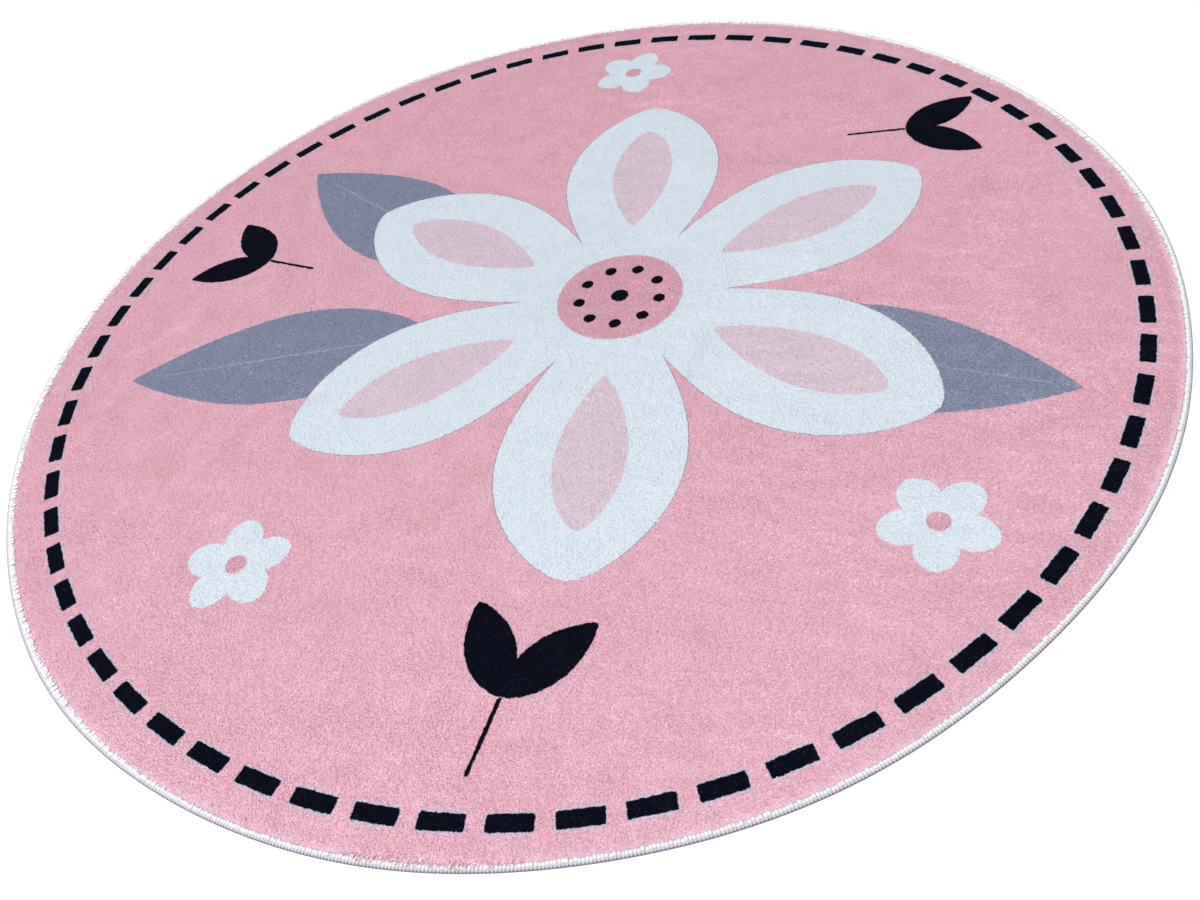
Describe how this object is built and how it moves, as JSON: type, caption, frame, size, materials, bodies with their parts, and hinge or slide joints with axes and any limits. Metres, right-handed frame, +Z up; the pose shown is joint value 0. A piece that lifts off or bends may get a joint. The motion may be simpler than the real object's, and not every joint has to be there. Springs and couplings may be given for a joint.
{
  "type": "round nursery rug",
  "caption": "Round plush rug that lies flat on the floor, with a printed dashed border, a flower print and an overlocked yarn edge.",
  "frame": {"origin": "middle of the underside, on the floor", "axes": "+Z up out of the pile; +Y away from the viewer across the rug; +X to the right"},
  "size_m": [1.6013, 1.5983, 0.0065],
  "materials": {
    "printed_pile": "printed short plush pile, brushed",
    "overlock_yarn": "white overlocked polyester yarn"
  },
  "bodies": {
    "root": {"pile_cloth": "printed_pile", "edge_yarn": "overlock_yarn"}
  },
  "joints": []
}
